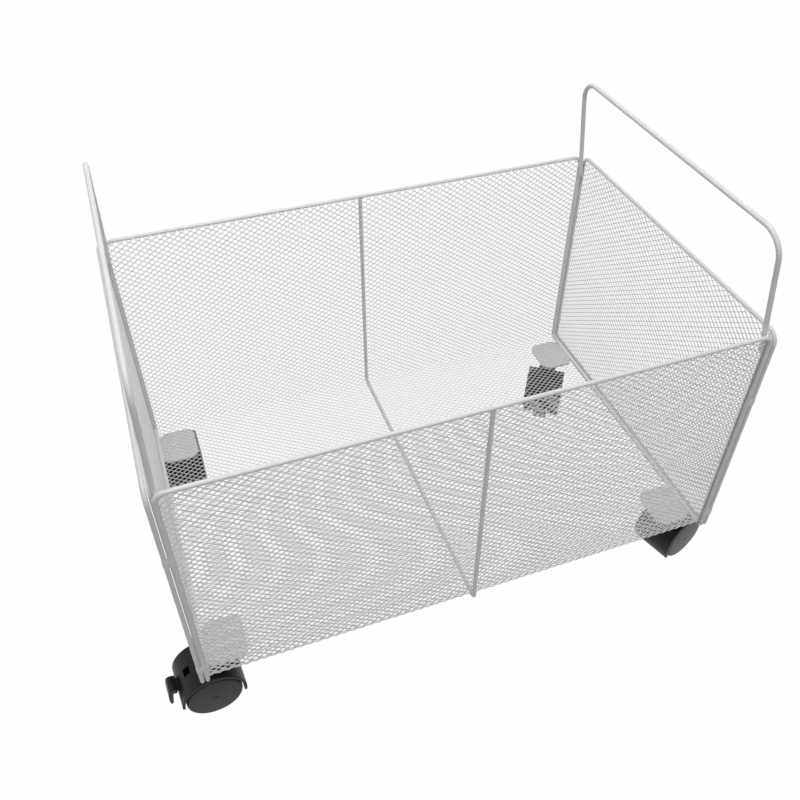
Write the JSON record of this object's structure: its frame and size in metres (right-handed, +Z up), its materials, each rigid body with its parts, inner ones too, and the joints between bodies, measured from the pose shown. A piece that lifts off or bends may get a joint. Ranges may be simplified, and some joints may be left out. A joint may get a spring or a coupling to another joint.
{
  "type": "rolling wire basket",
  "caption": "Open rectangular basket of wire frame and diamond mesh on hooded swivel casters, with a raised wire handle at each short end and foot-pressed caster brakes.",
  "frame": {"origin": "middle of the whole outline on the ground plane, as the casters stand at rest", "axes": "+X along the length towards the right end, +Y to the back, +Z up"},
  "size_m": [0.5102, 0.308, 0.3677],
  "materials": {
    "white_wire": "white powder coat, satin",
    "white_mesh": "white powder coat on expanded steel mesh",
    "white_plate": "white powder coat, satin",
    "zinc_steel": "bright zinc plate",
    "axle_steel": "plain drawn steel",
    "hood_plastic": "black moulded nylon, fine satin grain",
    "wheel_plastic": "black moulded nylon, worn smooth on the tread",
    "lever_plastic": "black moulded nylon, satin"
  },
  "bodies": {
    "basket": {"main_wire_front": "white_wire", "main_wire_back": "white_wire", "centre_rib": "white_wire", "end_frame_left": "white_wire", "end_frame_right": "white_wire", "body_mesh": "white_mesh", "end_mesh_left": "white_mesh", "end_mesh_right": "white_mesh", "handle_left": "white_wire", "handle_right": "white_wire", "corner_ties": "white_wire", "weld_nuts": "white_plate", "plate_front_left": "white_plate", "stem_front_left": "zinc_steel", "plate_front_right": "white_plate", "stem_front_right": "zinc_steel", "plate_back_left": "white_plate", "stem_back_left": "zinc_steel", "plate_back_right": "white_plate", "stem_back_right": "zinc_steel"},
    "swivel_front_left": {"hood_front_left": "hood_plastic", "axle_front_left": "axle_steel", "lever_pin_front_left": "zinc_steel"},
    "wheel_front_left_a": {"wheel_front_left_a": "wheel_plastic"},
    "wheel_front_left_b": {"wheel_front_left_b": "wheel_plastic"},
    "brake_front_left": {"brake_lever_front_left": "lever_plastic"},
    "swivel_front_right": {"hood_front_right": "hood_plastic", "axle_front_right": "axle_steel"},
    "wheel_front_right_a": {"wheel_front_right_a": "wheel_plastic"},
    "wheel_front_right_b": {"wheel_front_right_b": "wheel_plastic"},
    "swivel_back_left": {"hood_back_left": "hood_plastic", "axle_back_left": "axle_steel"},
    "wheel_back_left_a": {"wheel_back_left_a": "wheel_plastic"},
    "wheel_back_left_b": {"wheel_back_left_b": "wheel_plastic"},
    "swivel_back_right": {"hood_back_right": "hood_plastic", "axle_back_right": "axle_steel", "lever_pin_back_right": "zinc_steel"},
    "wheel_back_right_a": {"wheel_back_right_a": "wheel_plastic"},
    "wheel_back_right_b": {"wheel_back_right_b": "wheel_plastic"},
    "brake_back_right": {"brake_lever_back_right": "lever_plastic"}
  },
  "joints": [
    {"name": "swivel_front_left", "type": "hinge", "parent": "basket", "child": "swivel_front_left", "pos_m": [-0.20093, -0.12345, 0.0541], "axis": [0, 0, 1], "continuous": true},
    {"name": "wheel_front_left_a", "type": "hinge", "parent": "swivel_front_left", "child": "wheel_front_left_a", "pos_m": [-0.21988, -0.12477, 0.023], "axis": [0.0698, -0.9976, 0], "continuous": true},
    {"name": "wheel_front_left_b", "type": "hinge", "parent": "swivel_front_left", "child": "wheel_front_left_b", "pos_m": [-0.21988, -0.12477, 0.023], "axis": [0.0698, -0.9976, 0], "continuous": true},
    {"name": "brake_front_left", "type": "hinge", "parent": "swivel_front_left", "child": "brake_front_left", "pos_m": [-0.23791, -0.12604, 0.02887], "axis": [0.0698, -0.9976, 0], "range_deg": [0, 12]},
    {"name": "swivel_front_right", "type": "hinge", "parent": "basket", "child": "swivel_front_right", "pos_m": [0.20827, -0.12345, 0.0541], "axis": [0, 0, 1], "continuous": true},
    {"name": "wheel_front_right_a", "type": "hinge", "parent": "swivel_front_right", "child": "wheel_front_right_a", "pos_m": [0.22634, -0.11758, 0.023], "axis": [-0.309, 0.9511, 0], "continuous": true},
    {"name": "wheel_front_right_b", "type": "hinge", "parent": "swivel_front_right", "child": "wheel_front_right_b", "pos_m": [0.22634, -0.11758, 0.023], "axis": [-0.309, 0.9511, 0], "continuous": true},
    {"name": "swivel_back_left", "type": "hinge", "parent": "basket", "child": "swivel_back_left", "pos_m": [-0.20093, 0.10955, 0.0541], "axis": [0, 0, 1], "continuous": true},
    {"name": "wheel_back_left_a", "type": "hinge", "parent": "swivel_back_left", "child": "wheel_back_left_a", "pos_m": [-0.20093, 0.12855, 0.023], "axis": [-1, 0, 0], "continuous": true},
    {"name": "wheel_back_left_b", "type": "hinge", "parent": "swivel_back_left", "child": "wheel_back_left_b", "pos_m": [-0.20093, 0.12855, 0.023], "axis": [-1, 0, 0], "continuous": true},
    {"name": "swivel_back_right", "type": "hinge", "parent": "basket", "child": "swivel_back_right", "pos_m": [0.20827, 0.10955, 0.0541], "axis": [0, 0, 1], "continuous": true},
    {"name": "wheel_back_right_a", "type": "hinge", "parent": "swivel_back_right", "child": "wheel_back_right_a", "pos_m": [0.19764, 0.0938, 0.023], "axis": [0.829, -0.5592, 0], "continuous": true},
    {"name": "wheel_back_right_b", "type": "hinge", "parent": "swivel_back_right", "child": "wheel_back_right_b", "pos_m": [0.19764, 0.0938, 0.023], "axis": [0.829, -0.5592, 0], "continuous": true},
    {"name": "brake_back_right", "type": "hinge", "parent": "swivel_back_right", "child": "brake_back_right", "pos_m": [0.18754, 0.07882, 0.02887], "axis": [0.829, -0.5592, 0], "range_deg": [0, 12]}
  ]
}
